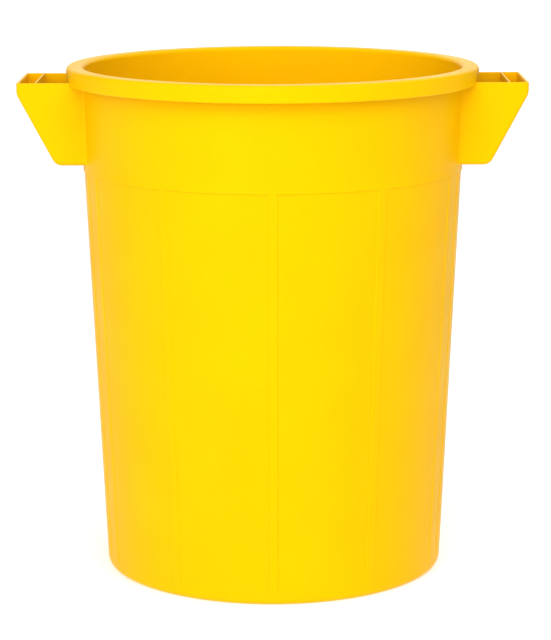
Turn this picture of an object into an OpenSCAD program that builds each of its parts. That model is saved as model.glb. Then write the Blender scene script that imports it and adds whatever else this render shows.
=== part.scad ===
// Open-topped round plastic tub with a down-turned rim and two hollow bracket handles.
// The origin is the middle of the base, +Z is up, and the handles stand out along X.

/* [Tub] */
// Height from the floor to the top of the rim
tub_h = 600; // [560:5:640]
// Outside diameter of the wall where it meets the floor, before the corner is rounded
base_d = 402; // [360:1:410]
// Outside diameter of the panelled wall just under the ledge
ledge_d = 445; // [430:1:448]
// Height of the ledge above the floor
ledge_z = 478; // [430:1:484]
// How far the plain upper band stands out past the panelled wall at the ledge
ledge_step = 0.5; // [0.5:0.5:3]
// Outside diameter of the upper band at the rim
band_d = 453; // [450:1:458]
// Inside diameter of the mouth
mouth_d = 444; // [436:1:447]
// Wall thickness at the base
wall_t = 4; // [3:0.5:6]

/* [Base] */
// Radius of the outside corner that the wall turns through into the base
corner_r = 8.5; // [3:0.5:10]
// Radius of the inside corner between wall and floor
fillet_r = 10; // [4:0.5:12]
// How far the floor is raised inside the foot ring
floor_z = 6; // [3:0.5:10]
// Thickness of the floor
floor_t = 5; // [3:0.5:8]

/* [Rim] */
// Outside diameter of the rim
rim_d = 484; // [474:1:490]
// Height of the rim, from its top face to the lower edge of its skirt
rim_h = 20; // [14:1:22]
// Thickness of the rim's top flange and of its skirt
rim_t = 4; // [3:0.5:5]
// Rounding of the rim's outer top edge
rim_round = 5; // [1:0.5:5]

/* [Ribs] */
// Width of one raised rib
rib_w = 11; // [8:0.5:14]
// How far a rib stands out from the panelled wall
rib_h = 0.5; // [0.5:0.25:1.5]
// Angle between neighbouring panel ribs
rib_pitch = 33.5; // [30:0.5:36]
// Number of panel ribs on the front half, and again on the back half
ribs_per_side = 5; // [3:2:5]
// Height above the floor at which the ribs end
rib_foot_z = 8; // [8:1:30]

/* [Handles] */
// Overall span across both handles
handle_span = 592; // [570:1:610]
// Span across the outer ends of the handles' flat undersides
toe_span = 504; // [490:1:520]
// Width of a handle along the rim
handle_w = 120; // [100:1:140]
// Overall height of a handle
handle_h = 96; // [80:0.5:96]
// Distance from the rim's top face down to the handle's top edge
handle_drop = 16; // [12:1:18]
// Height of the upright part of the handle's outer end
lip_h = 13.5; // [8:0.5:20]
// Thickness of the handle's plates
plate_t = 3; // [2:0.5:5]
// Rounding of the handle's corners in side view
handle_round = 12; // [3:1:12]
// Distance from the handle's outer end to the middle of the web across its pocket
web_inset = 22; // [18:1:30]
// Thickness of the web
web_t = 2; // [1.5:0.5:4]

/* [Hidden] */
$fn = 180;
arc_steps = 8;
cut_margin = 1;
tub_yellow = [1.0, 0.82, 0.0];

flange_z = tub_h - rim_t;
skirt_z = tub_h - rim_h;
floor_top = floor_z + floor_t;
ring_h = floor_top + fillet_r;
ring_in = inner_r(ring_h) - fillet_r;

handle_top = tub_h - handle_drop;
handle_bottom = handle_top - handle_h;
handle_reach = handle_span / 2;
handle_root = ledge_d / 2 - handle_w / 4;
knee_z = handle_top - lip_h;
slant = atan2(handle_reach - toe_span / 2, knee_z - handle_bottom);

rib_half_angle = asin(rib_w / 2 / (ledge_d / 2));
// A handle's ribs run down from its two side plates.
handle_rib_angle = asin((handle_w / 2) / (ledge_d / 2)) - rib_half_angle;
half_ribs = (ribs_per_side - 1) / 2;
panel_angles = [for (side = [-90, 90], i = [-half_ribs:half_ribs]) side + i * rib_pitch];
handle_angles = [for (side = [0, 180], s = [-1, 1]) side + s * handle_rib_angle];

PANEL_RIBS = [for (i = [1:len(panel_angles)]) str("panel_rib_", i)];
HANDLE_RIBS = [for (i = [1:len(handle_angles)]) str("handle_rib_", i)];

// Outside radius of the panelled wall at height z
function wall_r(z) = (base_d + (ledge_d - base_d) * z / ledge_z) / 2;

// Outside radius of the plain upper band at height z
function band_r(z) =
    let (low = ledge_d / 2 + ledge_step, high = band_d / 2)
    low + (high - low) * (z - ledge_z) / (tub_h - ledge_z);

// Inside radius at height z: one straight taper from the base to the mouth
function inner_r(z) =
    let (low = base_d / 2 - wall_t, high = mouth_d / 2)
    low + (high - low) * z / tub_h;

// Points of an arc that rounds the corner b between the points a and c
function rounded(a, b, c, r) =
    let (
        u = (a - b) / norm(a - b),
        v = (c - b) / norm(c - b),
        half = acos(u * v) / 2,
        centre = b + (u + v) / norm(u + v) * r / sin(half),
        from = b + u * r / tan(half) - centre,
        to = b + v * r / tan(half) - centre,
        start = atan2(from.y, from.x),
        turn = atan2(from.x * to.y - from.y * to.x, from * to)
    )
    [for (i = [0:arc_steps]) centre + r * [cos(start + turn * i / arc_steps), sin(start + turn * i / arc_steps)]];

// Side view of a handle drawn t inside its outer faces, reaching up to height top
function handle_outline(t, top) =
    let (
        root_top = [handle_root, top],
        end_top = [handle_reach - t, top],
        knee = [handle_reach - t, knee_z + t * (1 / cos(slant) - 1) / tan(slant)],
        toe = [toe_span / 2 + t * tan(slant) - t / cos(slant), handle_bottom + t],
        root_bottom = [handle_root, handle_bottom + t]
    )
    concat(
        [root_bottom, root_top, end_top],
        rounded(end_top, knee, toe, handle_round - t),
        rounded(knee, toe, root_bottom, handle_round - t)
    );

// A slab of the handle's side view, as wide as width, centred on the X axis
module handle_slab(t, top, width) {
    rotate([90, 0, 0])
        linear_extrude(width, center = true)
            polygon(handle_outline(t, top));
}

// Everything that lies inside the tub's own outer surface, which the handles stop at
module tub_envelope() {
    rotate_extrude()
        polygon([
            [0, ledge_z],
            [band_r(ledge_z), ledge_z],
            [band_r(skirt_z), skirt_z],
            [rim_d / 2, skirt_z],
            [rim_d / 2, tub_h + cut_margin],
            [0, tub_h + cut_margin]
        ]);
}

module handle_body() {
    difference() {
        handle_slab(0, handle_top, handle_w);
        handle_slab(plate_t, handle_top + cut_margin, handle_w - 2 * plate_t);
        tub_envelope();
    }
}

module handle_web_body() {
    intersection() {
        handle_slab(plate_t, handle_top, handle_w - 2 * plate_t);
        translate([handle_reach - web_inset - web_t / 2, -handle_w / 2, handle_bottom])
            cube([web_t, handle_w, handle_h]);
    }
}

// One raised strip on the panelled wall, centred on the direction angle
module rib(angle) {
    color(tub_yellow)
        rotate([0, 0, angle - rib_half_angle])
            rotate_extrude(angle = 2 * rib_half_angle)
                polygon([
                    [wall_r(rib_foot_z), rib_foot_z],
                    [wall_r(rib_foot_z) + rib_h, rib_foot_z],
                    [wall_r(ledge_z) + rib_h, ledge_z],
                    [wall_r(ledge_z), ledge_z]
                ]);
}

// What a corner of radius r loses when it is rounded: the corner's circle is centred on the origin
module corner_waste(r) {
    difference() {
        square(r + cut_margin);
        circle(r);
    }
}

// Foot, outside corner and inside corner, up to the straight part of the wall
module base_ring() {
    color(tub_yellow)
        rotate_extrude()
            difference() {
                polygon([
                    [ring_in, 0],
                    [wall_r(corner_r), 0],
                    [wall_r(corner_r), corner_r],
                    [wall_r(ring_h), ring_h],
                    [ring_in, ring_h]
                ]);
                translate([wall_r(corner_r) - corner_r, corner_r])
                    rotate(-90)
                        corner_waste(corner_r);
                translate([ring_in, ring_h]) circle(fillet_r);
            }
}

module floor_pan() {
    color(tub_yellow)
        translate([0, 0, floor_z])
            cylinder(h = floor_t, r = ring_in);
}

module panelled_wall() {
    color(tub_yellow)
        rotate_extrude()
            polygon([
                [inner_r(ring_h), ring_h],
                [wall_r(ring_h), ring_h],
                [wall_r(ledge_z), ledge_z],
                [inner_r(ledge_z), ledge_z]
            ]);
}

module upper_band() {
    color(tub_yellow)
        rotate_extrude()
            polygon([
                [inner_r(ledge_z), ledge_z],
                [band_r(ledge_z), ledge_z],
                [band_r(flange_z), flange_z],
                [inner_r(flange_z), flange_z]
            ]);
}

// Top flange with its skirt turned down outside the wall
module rim_band() {
    rim_r = rim_d / 2;
    color(tub_yellow)
        rotate_extrude()
            difference() {
                polygon([
                    [inner_r(flange_z), flange_z],
                    [inner_r(flange_z), tub_h],
                    [rim_r, tub_h],
                    [rim_r, skirt_z],
                    [rim_r - rim_t, skirt_z],
                    [rim_r - rim_t, flange_z]
                ]);
                translate([rim_r - rim_round, tub_h - rim_round])
                    corner_waste(rim_round);
            }
}

module handle_right() {
    color(tub_yellow) handle_body();
}

module handle_left() {
    color(tub_yellow) mirror([1, 0, 0]) handle_body();
}

module handle_web_right() {
    color(tub_yellow) handle_web_body();
}

module handle_web_left() {
    color(tub_yellow) mirror([1, 0, 0]) handle_web_body();
}

base_ring();
floor_pan();
panelled_wall();
upper_band();
rim_band();
handle_right();
handle_left();
handle_web_right();
handle_web_left();
for (i = [0:len(PANEL_RIBS) - 1])
    rib(panel_angles[i]);
for (i = [0:len(HANDLE_RIBS) - 1])
    rib(handle_angles[i]);
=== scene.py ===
"""Looks of an open-topped round plastic tub with two bracket handles.

The tub is one injection moulding. Each CAD node is a region of it, and each is replaced by a finely meshed
closed piece that has the roundings and fillets of the moulding. Everything is in metres, in the CAD's frame.
"""

import math

import bmesh
import bpy
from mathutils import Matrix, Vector


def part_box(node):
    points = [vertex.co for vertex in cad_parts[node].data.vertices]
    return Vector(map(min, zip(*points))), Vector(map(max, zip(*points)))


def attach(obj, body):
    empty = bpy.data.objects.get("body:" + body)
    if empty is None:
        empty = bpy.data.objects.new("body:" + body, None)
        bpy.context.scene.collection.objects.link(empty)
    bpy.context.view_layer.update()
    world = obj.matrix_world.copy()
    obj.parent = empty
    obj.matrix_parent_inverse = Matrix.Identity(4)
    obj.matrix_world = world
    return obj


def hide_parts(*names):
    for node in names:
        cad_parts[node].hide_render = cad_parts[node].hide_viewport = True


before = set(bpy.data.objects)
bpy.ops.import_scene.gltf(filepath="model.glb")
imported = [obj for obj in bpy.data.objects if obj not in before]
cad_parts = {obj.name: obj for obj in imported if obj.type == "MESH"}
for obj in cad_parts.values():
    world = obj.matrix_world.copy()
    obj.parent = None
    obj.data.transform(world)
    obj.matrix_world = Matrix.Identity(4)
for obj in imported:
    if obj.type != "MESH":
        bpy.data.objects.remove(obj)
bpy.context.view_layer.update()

# Meshes
TURN_STEPS = 360
ARC_STEPS = 8
SHARP_ANGLE = math.radians(35)
TOUCH = 1e-5
WELD = 2e-6
SUNK = 0.001  # how far a piece reaches into the one that it grows out of

# Tub
WALL_ROWS = 12
LEDGE_H = 0.0005  # height over which the wall swells out into the plain band
LEDGE_ROWS = 8
LEDGE_BEAD = 0.0006  # how far the band's lower edge swells out past the CAD band
LEDGE_FADE = 0.012  # height over which that swelling fades
CORNER_R = 0.0085
FLOOR_FILLET = 0.010
FOOT_EDGE = 0.001
FOOT_FILLET = 0.0015
GATE_R = 0.007  # round pad that the mould's gate leaves under the middle of the floor
GATE_H = 0.001
GATE_EDGE = 0.0005

# Rim
MOUTH_ROUND = 0.005
RIM_ROUND = 0.005
SKIRT_EDGE = 0.0018
SKIRT_FILLET = 0.002
FLANGE_FILLET = 0.003

# Ribs
RIB_W = 0.011
RIB_FLANK = 0.0009
RIB_LIFT = 1.6  # height of a visible rib as a multiple of the CAD rib's, so that its edges show
RIB_FADE = 0.012  # height over which a rib rises out of the wall at its foot
RIB_FADE_ROWS = 6
RIB_COLUMNS = 24
RIB_EDGE_SINK = 0.00002  # keeps a rib's thin edges just under the wall's surface

# Handles
PLATE_T = 0.003
LIP_H = 0.0135  # upright part of the handle's outer end
TOE_X = 0.252  # where the slanted plate and the bottom plate meet, before the rounding
HANDLE_ROUND = 0.012
HANDLE_CORNER = 0.0045  # between the side plates and the end, slanted and bottom plates
POCKET_CORNER = 0.002
TOP_EDGE = 0.001
ROOT_FILLET = 0.0035
POCKET_FILLET = 0.002
WEB_FILLET = 0.0012
WEB_EDGE = 0.0007
WEB_ROWS = 4
FILLET_STEPS = 6
PLATE_STEPS = 8
SLANT_STEPS = 10
ACROSS_STEPS = 12

# Plastic
YELLOW = (0.86, 0.475, 0.0, 1.0)
YELLOW_DEEP = (0.845, 0.453, 0.0, 1.0)
SPECULAR_LEVEL = 0.07
SPECULAR_TINT = (1.0, 0.85, 0.25, 1.0)
ROUGHNESS = (0.46, 0.38)  # in the deep and in the plain yellow
NOISE_SPREAD = (0.3, 0.7)  # where nearly all values of a noise texture lie
CLOUD_SCALE = 14
SWAY_SCALE = 5
FLOW_SCALE = 160
FLOW_STRETCH = 0.015  # scale of the flow lines' noise along the tub's axis
PEEL_SCALE = 450
SWAY_BUMP = (0.004, 0.12)  # distance and strength
FLOW_BUMP = (0.0004, 0.05)
PEEL_BUMP = (0.0002, 0.12)

# Camera
CAMERA_AT = (0.0042, -2.9093, 0.8831)
CAMERA_PITCH = math.radians(11.467)
CAMERA_ROLL = math.radians(0.143)
LENS = 139.2
SENSOR = 36.0

# Studio
FLOOR_SIZE = 14.0
FLOOR_GREYS = (0.80, 0.83)
FLOOR_ROUGHNESS = 0.9
FLOOR_SPECULAR_LEVEL = 0.1
FLOOR_CLOUD_SCALE = 2
FLOOR_GLOW = 0.4  # a product shot's sweep is lit from below, so that the tub throws hardly any shadow
WORLD_FRONT = 1.3  # the world's brightness on the camera's side
WORLD_FADE = (0.45, 0.85)  # heights on the unit sphere between which it fades to nothing overhead
WORLD_TURN = (-0.6, 0.6)  # distances behind the tub, on the unit sphere, between which it fades to nothing
WORLD_SIDES = (1.17, 0.83)  # shares of that brightness on the left and on the right
SOFTBOXES = [
    # name, turn, height, distance, size, power, aim
    ("key", -20.0, 1.0, 3.4, (0.9, 1.2), 20.0, 0.3),
    ("top_front", 0.0, 2.4, 1.9, (3.0, 1.6), 47.0, 0.3),
    ("top", 0.0, 3.0, 0.01, (2.5, 2.5), 16.0, 0.3),
    ("top_right", 130.0, 2.4, 1.6, (1.5, 1.5), 12.0, 0.5),
    ("backdrop", 180.0, 4.0, 8.0, (10.0, 8.0), 420.0, -2.0),
]


# -------------------------------------------------- measures read from the CAD nodes

def radii(node, z):
    """Smallest and largest radius of a CAD node's vertices at height z."""
    places = [v.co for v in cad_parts[node].data.vertices]
    found = [math.hypot(p.x, p.y) for p in places if abs(p.z - z) < TOUCH]
    return min(found), max(found)


def azimuth(node):
    """Direction of a CAD node from the tub's axis."""
    places = [v.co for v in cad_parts[node].data.vertices]
    return math.atan2(sum(p.y for p in places), sum(p.x for p in places))


def between(a, b, t):
    return a + (b - a) * t


def smooth(t):
    """Rises from 0 to 1 as t does, level at both ends."""
    t = min(max(t, 0.0), 1.0)
    return t * t * (3 - 2 * t)


def outer_radius(node):
    """Outer radius of a conical CAD node as a function of height."""
    low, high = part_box(node)
    r_low, r_high = radii(node, low.z)[1], radii(node, high.z)[1]
    return lambda z: between(r_low, r_high, (z - low.z) / (high.z - low.z))


wall_r = outer_radius("panelled_wall")
band_r = outer_radius("upper_band")


# -------------------------------------------------- outlines

def corner_arc(a, b, c, radius, steps=ARC_STEPS):
    """Points of the arc that rounds corner b between a and c, each with its direction from the centre."""
    a, b, c = Vector(a), Vector(b), Vector(c)
    u = (a - b).normalized()
    v = (c - b).normalized()
    half = u.angle(v) / 2
    centre = b + (u + v).normalized() * (radius / math.sin(half))
    start = (b + u * (radius / math.tan(half)) - centre).normalized()
    end = (b + v * (radius / math.tan(half)) - centre).normalized()
    turn = start.angle(end)
    rays = [
        (start * math.sin((1 - i / steps) * turn) + end * math.sin(i / steps * turn)) / math.sin(turn)
        for i in range(steps + 1)
    ]
    return [(centre + ray * radius, ray) for ray in rays]


def rounded(corners):
    """The closed outline through (x, y, radius) corners, with the corners that have a radius rounded."""
    points = []
    for i, (x, y, radius) in enumerate(corners):
        if radius:
            after = corners[(i + 1) % len(corners)]
            points += [p for p, _ in corner_arc(corners[i - 1][:2], (x, y), after[:2], radius)]
        else:
            points.append(Vector((x, y)))
    return points


def divided(a, b, steps):
    """Sharp (x, y, 0) corners strictly between a and b, so that long straight faces are cut up."""
    return [(between(a[0], b[0], i / steps), between(a[1], b[1], i / steps), 0) for i in range(1, steps)]


# -------------------------------------------------- meshes

def add_grid(bm, rows):
    """Quads between neighbouring rows of points, all rows having the same number of points."""
    made = [[bm.verts.new(p) for p in row] for row in rows]
    for low, high in zip(made, made[1:]):
        for i in range(len(low) - 1):
            bm.faces.new((low[i], low[i + 1], high[i + 1], high[i]))


def add_face(bm, points):
    bm.faces.new([bm.verts.new(p) for p in points])


def finish_piece(bm, node):
    """Welds and smooths the mesh, and makes it the piece that stands for a CAD node."""
    bmesh.ops.remove_doubles(bm, verts=bm.verts, dist=WELD)
    bmesh.ops.recalc_face_normals(bm, faces=bm.faces)
    if bm.calc_volume(signed=True) < 0:
        bmesh.ops.reverse_faces(bm, faces=bm.faces)
    name = "tub_" + node
    mesh = bpy.data.meshes.new(name)
    bm.to_mesh(mesh)
    bm.free()
    mesh.shade_smooth()
    mesh.set_sharp_from_angle(angle=SHARP_ANGLE)
    mesh.materials.append(plastic)
    piece = bpy.data.objects.new(name, mesh)
    bpy.context.scene.collection.objects.link(piece)
    weighted = piece.modifiers.new("weighted_normals", "WEIGHTED_NORMAL")
    weighted.keep_sharp = True
    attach(piece, "root")
    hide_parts(node)


def revolve(node, outline):
    """A (radius, height) outline turned about the axis. It is closed unless it starts and ends there."""
    bm = bmesh.new()
    turns = [math.tau * i / TURN_STEPS for i in range(TURN_STEPS)] + [0.0]
    on_axis = outline[0].x == 0 and outline[-1].x == 0
    ring = outline if on_axis else outline + [outline[0]]
    add_grid(bm, [[(r * math.cos(a), r * math.sin(a), z) for a in turns] for r, z in ring])
    bmesh.ops.dissolve_degenerate(bm, edges=bm.edges, dist=WELD)
    finish_piece(bm, node)


# -------------------------------------------------- the tub's round regions

def make_base_ring():
    low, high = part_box("base_ring")
    floor_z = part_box("floor_pan")[1].z
    ring_in = radii("base_ring", low.z)[0]
    wall_in, wall_out = radii("base_ring", high.z)
    fillet = corner_arc((wall_in, high.z), (wall_in, floor_z), (ring_in, floor_z), FLOOR_FILLET)
    corners = [
        (ring_in, low.z, FOOT_EDGE),
        (wall_r(low.z), low.z, CORNER_R),
        (wall_out, high.z, 0),
    ]
    revolve("base_ring", rounded(corners + [(p.x, p.y, 0) for p, _ in fillet]))


def make_floor_pan():
    low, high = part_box("floor_pan")
    corners = [
        (0.0, low.z - GATE_H, 0),
        (GATE_R, low.z - GATE_H, GATE_EDGE),
        (GATE_R, low.z, GATE_EDGE),
        *divided((GATE_R, low.z), (high.x, low.z), WALL_ROWS),
        (high.x - FOOT_FILLET, low.z, 0),
        (high.x, low.z - FOOT_FILLET, 0),
        (high.x, high.z, 0),
        *divided((high.x, high.z), (0.0, high.z), WALL_ROWS),
        (0.0, high.z, 0),
    ]
    revolve("floor_pan", rounded(corners))


def make_panelled_wall():
    low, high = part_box("panelled_wall")
    in_low, out_low = radii("panelled_wall", low.z)
    in_high, out_high = radii("panelled_wall", high.z)
    corners = [
        (out_low, low.z, 0),
        *divided((out_low, low.z), (out_high, high.z), WALL_ROWS),
        (out_high, high.z, 0),
        (in_high, high.z, 0),
        *divided((in_high, high.z), (in_low, low.z), WALL_ROWS),
        (in_low, low.z, 0),
    ]
    revolve("panelled_wall", rounded(corners))


def mouth_round(low_z, high_z):
    """(radius, height, 0) corners up the inside of the mouth, which rounds off into the rim's top face."""
    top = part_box("rim_band")[1].z
    mouth = radii("upper_band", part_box("upper_band")[1].z)[0]
    start = math.asin((low_z - top) / MOUTH_ROUND + 1)
    end = math.asin((high_z - top) / MOUTH_ROUND + 1)
    swings = [between(start, end, i / ARC_STEPS) for i in range(ARC_STEPS + 1)]
    return [
        (mouth + MOUTH_ROUND * (1 - math.cos(s)), top - MOUTH_ROUND * (1 - math.sin(s)), 0)
        for s in swings
    ]


def bead_r(z, up):
    """Outer radius of the band at height z, which is up above the ledge."""
    return band_r(z) + LEDGE_BEAD * (1 - smooth(up / LEDGE_FADE))


def make_upper_band():
    low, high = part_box("upper_band")
    in_low = radii("upper_band", low.z)[0]
    in_high, out_high = radii("upper_band", high.z)
    round_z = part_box("rim_band")[1].z - MOUTH_ROUND
    rises = [LEDGE_H * i / LEDGE_ROWS for i in range(LEDGE_ROWS + 1)]
    ledge = [
        (between(wall_r(low.z + up), bead_r(low.z + up, up), smooth(up / LEDGE_H)), low.z + up, 0)
        for up in rises
    ]
    swell = [LEDGE_H + (LEDGE_FADE - LEDGE_H) * i / LEDGE_ROWS for i in range(1, LEDGE_ROWS + 1)]
    ledge += [(bead_r(low.z + up, up), low.z + up, 0) for up in swell]
    corners = [
        (in_low, low.z, 0),
        *ledge,
        (out_high, high.z, FLANGE_FILLET),
        (out_high + 2 * FLANGE_FILLET, high.z, 0),
        *mouth_round(round_z, high.z)[::-1],
        *divided((in_high, round_z), (in_low, low.z), WALL_ROWS),
    ]
    revolve("upper_band", rounded(corners))


def make_rim_band():
    low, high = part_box("rim_band")
    skirt_in, skirt_out = radii("rim_band", low.z)
    flange_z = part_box("upper_band")[1].z
    corners = [
        *mouth_round(flange_z, high.z),
        (skirt_out, high.z, RIM_ROUND),
        (skirt_out, low.z, SKIRT_EDGE),
        (skirt_in, low.z, SKIRT_EDGE),
        (skirt_in, flange_z, SKIRT_FILLET),
    ]
    revolve("rim_band", rounded(corners))


# -------------------------------------------------- ribs

def rib_row(direction, z, lift):
    """One closed row round a rib at height z: its crowned outside, and its back, sunk into the wall."""
    ledge_r = wall_r(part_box("panelled_wall")[1].z)
    half = math.asin((RIB_W + RIB_FLANK) / 2 / ledge_r)
    flank = RIB_FLANK / ledge_r
    row = []
    for i in range(RIB_COLUMNS + 1):
        # More columns on the flanks than on the flat
        turn = half * math.sin(math.pi * (i / RIB_COLUMNS - 0.5))
        r = wall_r(z) + lift * smooth((half - abs(turn)) / flank) - RIB_EDGE_SINK
        row.append((r, direction + turn))
    back = wall_r(z) - SUNK
    row += [(back, direction + half), (back, direction - half), row[0]]
    return [(r * math.cos(a), r * math.sin(a), z) for r, a in row]


def make_rib(node):
    low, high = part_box(node)
    top_in, top_out = radii(node, high.z)
    rib_h = (top_out - top_in) * RIB_LIFT
    fade = [RIB_FADE * i / RIB_FADE_ROWS for i in range(RIB_FADE_ROWS + 1)]
    straight = [
        between(low.z + RIB_FADE, high.z + LEDGE_H, i / WALL_ROWS) - low.z
        for i in range(1, WALL_ROWS + 1)
    ]
    direction = azimuth(node)
    rows = [rib_row(direction, low.z + up, rib_h * smooth(up / RIB_FADE)) for up in fade + straight]
    bm = bmesh.new()
    add_grid(bm, rows)
    add_face(bm, rows[0][:-1])
    add_face(bm, rows[-1][:-1])
    finish_piece(bm, node)


# -------------------------------------------------- handles

def side_path(inset):
    """(point, normal) in side view from a handle's top edge down to its bottom plate, inset inwards."""
    low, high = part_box("handle_right")
    knee_z = high.z - LIP_H
    slant = math.atan2(high.x - TOE_X, knee_z - low.z)
    end_x = high.x - inset
    bottom_z = low.z + inset
    top = Vector((end_x, high.z - TOP_EDGE))
    knee = Vector((end_x, knee_z + inset * (1 / math.cos(slant) - 1) / math.tan(slant)))
    toe = Vector((TOE_X + inset * (math.tan(slant) - 1 / math.cos(slant)), bottom_z))
    knee_arc = corner_arc(top, knee, toe, HANDLE_ROUND - inset)
    toe_arc = corner_arc(knee, toe, (0.0, bottom_z), HANDLE_ROUND - inset)
    start, normal = knee_arc[-1]
    end = toe_arc[0][0]
    slanted = [(start.lerp(end, i / SLANT_STEPS), normal) for i in range(1, SLANT_STEPS)]
    return [(top, Vector((1.0, 0.0)))] + knee_arc + slanted + toe_arc


def across_profile(half, corner):
    """(y, drop, sideways, outwards) across a handle: drop is how far a rounded corner is inside the path."""
    swings = [math.pi / 2 * i / ARC_STEPS for i in range(ARC_STEPS + 1)]
    front = [
        (corner - half - corner * math.cos(s), corner * (1 - math.sin(s)), -math.cos(s), math.sin(s))
        for s in swings
    ]
    flat = half - corner
    middle = [(between(-flat, flat, i / ACROSS_STEPS), 0.0, 0.0, 1.0) for i in range(1, ACROSS_STEPS)]
    back = [(-y, drop, -sideways, outwards) for y, drop, sideways, outwards in reversed(front)]
    return front + middle + back


def wall_x(y, z):
    """Where the upper band's outside is, at y and z, on the +X side."""
    return math.sqrt(band_r(z) ** 2 - y ** 2)


def root_points(y, z, normal, fillet):
    """Points from the end of a plate round its fillet into the wall. normal is the face's, as (y, z)."""
    found = []
    for i in range(FILLET_STEPS + 1):
        swing = math.pi / 2 * i / FILLET_STEPS
        flare = fillet * (1 - math.cos(swing))
        at_y, at_z = y + normal[0] * flare, z + normal[1] * flare
        found.append(Vector((wall_x(at_y, at_z) + fillet * (1 - math.sin(swing)), at_y, at_z)))
    found.append(found[-1] - Vector((found[-1].x - wall_x(at_y, at_z) + SUNK, 0, 0)))
    return found


def plate_rows(path, half, corner, fillet, facing, side):
    """Rows of one side plate's face, each from inside the wall out to the rounded corner."""
    rows = []
    for point, normal in path:
        edge = point - normal * corner
        y, z = side * half, edge.y
        root = root_points(y, z, (side * facing, 0.0), fillet)
        body = [root[0].lerp(Vector((edge.x, y, z)), i / PLATE_STEPS) for i in range(1, PLATE_STEPS + 1)]
        rows.append(root[::-1] + body)
    return rows


def sleeve_rows(path, half, corner, fillet, facing):
    """Rows across the end, slanted and bottom plates with their corners, from the top edge to the wall."""
    profile = across_profile(half, corner)
    rows = [[Vector((p.x - n.x * drop, y, p.y - n.y * drop)) for y, drop, _, _ in profile] for p, n in path]
    last = path[-1][0]
    roots = [
        root_points(y, last.y + drop, (sideways * facing, -outwards * facing), fillet)
        for y, drop, sideways, outwards in profile
    ]
    for i in range(PLATE_STEPS - 1, 0, -1):
        rows.append([
            root[0].lerp(Vector((last.x, root[0].y, root[0].z)), i / PLATE_STEPS)
            for root in roots
        ])
    rows += [list(row) for row in zip(*roots)]
    return rows


def handle_face(inset, corner, fillet, facing):
    """A handle's outside or its pocket: three grids, the top loop with its normals, and the root loop."""
    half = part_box("handle_right")[1].y - inset
    path = side_path(inset)
    front = plate_rows(path, half, corner, fillet, facing, -1)
    back = plate_rows(path, half, corner, fillet, facing, 1)
    sleeve = sleeve_rows(path, half, corner, fillet, facing)
    turns = [
        Vector((outwards, sideways, 0)) * facing
        for _, _, sideways, outwards in across_profile(half, corner)
    ]
    top = [(p, Vector((0, -facing, 0))) for p in front[0]]
    top += list(zip(sleeve[0], turns))[1:]
    top += [(p, Vector((0, facing, 0))) for p in back[0][::-1]][1:]
    root = [row[0] for row in front] + sleeve[-1][1:] + [row[0] for row in back[::-1]][1:]
    return [front, sleeve, back], top, root


def rolled_edge(loop, reverse=False):
    """Rows of the quarter round that a face's top loop turns through into the plates' top."""
    rows = []
    steps = ARC_STEPS // 2
    for i in range(steps + 1):
        swing = math.pi / 2 * i / steps
        up = Vector((0, 0, TOP_EDGE * math.sin(swing)))
        rows.append([p - n * (TOP_EDGE * (1 - math.cos(swing))) + up for p, n in loop])
    return rows[::-1] if reverse else rows


def make_handle(node, side):
    outside, outer_top, outer_root = handle_face(0.0, HANDLE_CORNER, ROOT_FILLET, 1)
    pocket, inner_top, inner_root = handle_face(PLATE_T, POCKET_CORNER, POCKET_FILLET, -1)
    top = rolled_edge(outer_top) + rolled_edge(inner_top, reverse=True)
    bm = bmesh.new()
    for rows in outside + pocket + [top, [outer_root, inner_root]]:
        add_grid(bm, rows)
    add_face(bm, [row[0] for row in top])
    add_face(bm, [row[-1] for row in top])
    bmesh.ops.scale(bm, vec=(side, 1, 1), verts=bm.verts)
    finish_piece(bm, node)


def make_web(node, side):
    """The thin plate across a handle's pocket, flared where it meets the side plates."""
    low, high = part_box("handle_web_right")
    middle = (low.x + high.x) / 2
    plan = [(low.y - SUNK, WEB_FILLET)]
    swings = [math.pi / 2 * i / FILLET_STEPS for i in range(FILLET_STEPS + 1)]
    plan += [(low.y + WEB_FILLET * (1 - math.cos(s)), WEB_FILLET * (1 - math.sin(s))) for s in swings]
    plan += [(-y, flare) for y, flare in reversed(plan)]
    half = (high.x - low.x) / 2
    levels = [(between(low.z - SUNK, high.z - WEB_EDGE, i / WEB_ROWS), 0.0) for i in range(WEB_ROWS)]
    levels += [
        (high.z - WEB_EDGE * (1 - math.sin(s)), WEB_EDGE * (1 - math.cos(s)))
        for s in swings
    ]
    rows = []
    for z, inset in levels:
        near = [(side * (middle - half - flare + inset), y, z) for y, flare in plan]
        far = [(side * (middle + half + flare - inset), y, z) for y, flare in reversed(plan)]
        rows.append(near + far + [near[0]])
    bm = bmesh.new()
    add_grid(bm, rows)
    half_row = len(plan)
    for row in (rows[0], rows[-1]):
        add_grid(bm, [row[:half_row], row[half_row:-1][::-1]])
    finish_piece(bm, node)


# -------------------------------------------------- materials

def add_node(tree, kind, inputs=None, **settings):
    node = tree.nodes.new(kind)
    for name, value in settings.items():
        setattr(node, name, value)
    for name, value in (inputs or {}).items():
        node.inputs[name].default_value = value
    return node


def noise(tree, vector, scale, detail):
    node = add_node(tree, "ShaderNodeTexNoise", {"Scale": scale, "Detail": detail})
    tree.links.new(vector, node.inputs["Vector"])
    return node.outputs["Fac"]


def ranged(tree, value, low, high):
    """A noise value spread over low to high."""
    node = add_node(tree, "ShaderNodeMapRange", {
        "From Min": NOISE_SPREAD[0], "From Max": NOISE_SPREAD[1], "To Min": low, "To Max": high,
    })
    tree.links.new(value, node.inputs["Value"])
    return node.outputs["Result"]


def bump(tree, height, distance, strength, normal=None):
    node = add_node(tree, "ShaderNodeBump", {"Distance": distance, "Strength": strength})
    tree.links.new(height, node.inputs["Height"])
    if normal:
        tree.links.new(normal, node.inputs["Normal"])
    return node.outputs["Normal"]


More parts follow.
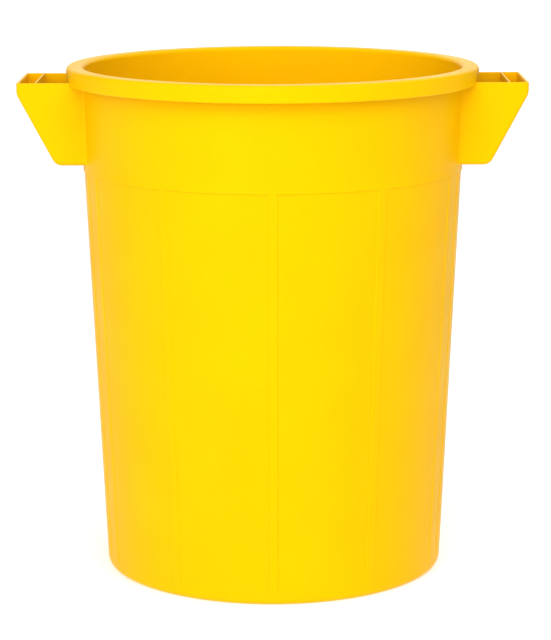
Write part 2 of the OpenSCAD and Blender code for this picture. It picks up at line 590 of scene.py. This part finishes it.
def make_plastic():
    """Mass-coloured polyolefin as it leaves the mould: satin, slightly uneven, with faint flow lines."""
    material = bpy.data.materials.new("moulded_yellow_plastic")
    material.use_nodes = True
    tree = material.node_tree
    shader = tree.nodes["Principled BSDF"]
    shader.inputs["Specular IOR Level"].default_value = SPECULAR_LEVEL
    shader.inputs["Specular Tint"].default_value = SPECULAR_TINT
    place = add_node(tree, "ShaderNodeTexCoord").outputs["Object"]
    stretch = add_node(tree, "ShaderNodeMapping", {"Scale": (1.0, 1.0, FLOW_STRETCH)})
    tree.links.new(place, stretch.inputs["Vector"])
    flow = noise(tree, stretch.outputs["Vector"], FLOW_SCALE, 3)
    peel = noise(tree, place, PEEL_SCALE, 2)
    cloud = noise(tree, place, CLOUD_SCALE, 4)
    sway = noise(tree, place, SWAY_SCALE, 1)
    ramp = add_node(tree, "ShaderNodeValToRGB")
    for stop, position, colour in zip(ramp.color_ramp.elements, NOISE_SPREAD, (YELLOW_DEEP, YELLOW)):
        stop.position = position
        stop.color = colour
    tree.links.new(cloud, ramp.inputs["Fac"])
    tree.links.new(ramp.outputs["Color"], shader.inputs["Base Color"])
    tree.links.new(ranged(tree, cloud, *ROUGHNESS), shader.inputs["Roughness"])
    slow = bump(tree, sway, *SWAY_BUMP)
    lined = bump(tree, flow, *FLOW_BUMP, slow)
    pebbled = bump(tree, peel, *PEEL_BUMP, lined)
    tree.links.new(pebbled, shader.inputs["Normal"])
    return material


def make_floor_material():
    material = bpy.data.materials.new("pale_floor")
    material.use_nodes = True
    tree = material.node_tree
    shader = tree.nodes["Principled BSDF"]
    shader.inputs["Roughness"].default_value = FLOOR_ROUGHNESS
    shader.inputs["Specular IOR Level"].default_value = FLOOR_SPECULAR_LEVEL
    shader.inputs["Emission Color"].default_value = (1.0, 1.0, 1.0, 1.0)
    shader.inputs["Emission Strength"].default_value = FLOOR_GLOW
    place = add_node(tree, "ShaderNodeTexCoord").outputs["Object"]
    ramp = add_node(tree, "ShaderNodeValToRGB")
    for stop, grey in zip(ramp.color_ramp.elements, FLOOR_GREYS):
        stop.color = (grey, grey, grey, 1.0)
    tree.links.new(noise(tree, place, FLOOR_CLOUD_SCALE, 3), ramp.inputs["Fac"])
    tree.links.new(ramp.outputs["Color"], shader.inputs["Base Color"])
    return material


# -------------------------------------------------- studio

def make_floor():
    bm = bmesh.new()
    bmesh.ops.create_grid(bm, x_segments=8, y_segments=8, size=FLOOR_SIZE)
    mesh = bpy.data.meshes.new("floor")
    bm.to_mesh(mesh)
    bm.free()
    mesh.materials.append(make_floor_material())
    floor = bpy.data.objects.new("floor", mesh)
    bpy.context.scene.collection.objects.link(floor)


def faded(tree, value, fade, low, high):
    """Goes smoothly from low to high as value goes through the two bounds of fade."""
    node = add_node(tree, "ShaderNodeMapRange", {
        "From Min": fade[0], "From Max": fade[1], "To Min": low, "To Max": high,
    }, interpolation_type="SMOOTHSTEP")
    tree.links.new(value, node.inputs["Value"])
    return node.outputs["Result"]


def product(tree, a, b):
    node = add_node(tree, "ShaderNodeMath", operation="MULTIPLY")
    tree.links.new(a, node.inputs[0])
    tree.links.new(b, node.inputs[1])
    return node.outputs["Value"]


def make_world():
    """A bright room on the camera's side, brighter on the left. It fades out overhead and behind the tub."""
    world = bpy.data.worlds.new("studio")
    bpy.context.scene.world = world
    world.use_nodes = True
    tree = world.node_tree
    direction = add_node(tree, "ShaderNodeTexCoord").outputs["Generated"]
    split = add_node(tree, "ShaderNodeSeparateXYZ")
    tree.links.new(direction, split.inputs["Vector"])
    below_top = faded(tree, split.outputs["Z"], WORLD_FADE, WORLD_FRONT, 0.0)
    in_front = faded(tree, split.outputs["Y"], WORLD_TURN, 1.0, 0.0)
    sideways = faded(tree, split.outputs["X"], (-1.0, 1.0), *WORLD_SIDES)
    strength = product(tree, product(tree, below_top, in_front), sideways)
    tree.links.new(strength, tree.nodes["Background"].inputs["Strength"])
    tree.nodes["Background"].inputs["Color"].default_value = (1.0, 1.0, 1.0, 1.0)


def add_softbox(name, turn, height, distance, size, power, aim_z):
    """A soft light, turn degrees round from the front towards +X, aimed at height aim_z on the axis."""
    data = bpy.data.lights.new(name, "AREA")
    data.shape = "RECTANGLE"
    data.size, data.size_y = size
    data.energy = power
    light = bpy.data.objects.new(name, data)
    bpy.context.scene.collection.objects.link(light)
    turn = math.radians(turn)
    light.location = (distance * math.sin(turn), -distance * math.cos(turn), height)
    aim = Vector((0.0, 0.0, aim_z)) - light.location
    light.rotation_euler = aim.to_track_quat("-Z", "Y").to_euler()


def make_camera():
    data = bpy.data.cameras.new("camera")
    data.lens = LENS
    data.sensor_width = SENSOR
    camera = bpy.data.objects.new("camera", data)
    bpy.context.scene.collection.objects.link(camera)
    camera.location = CAMERA_AT
    camera.rotation_euler = (math.pi / 2 - CAMERA_PITCH, CAMERA_ROLL, 0.0)
    bpy.context.scene.camera = camera


plastic = make_plastic()

make_base_ring()
make_floor_pan()
make_panelled_wall()
make_upper_band()
make_rim_band()
for node in sorted(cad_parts):
    if "_rib_" in node:
        make_rib(node)
for name, side in (("right", 1), ("left", -1)):
    make_handle("handle_" + name, side)
    make_web("handle_web_" + name, side)

make_floor()
make_world()
for light in SOFTBOXES:
    add_softbox(*light)
make_camera()
bpy.context.scene.view_settings.view_transform = "Standard"
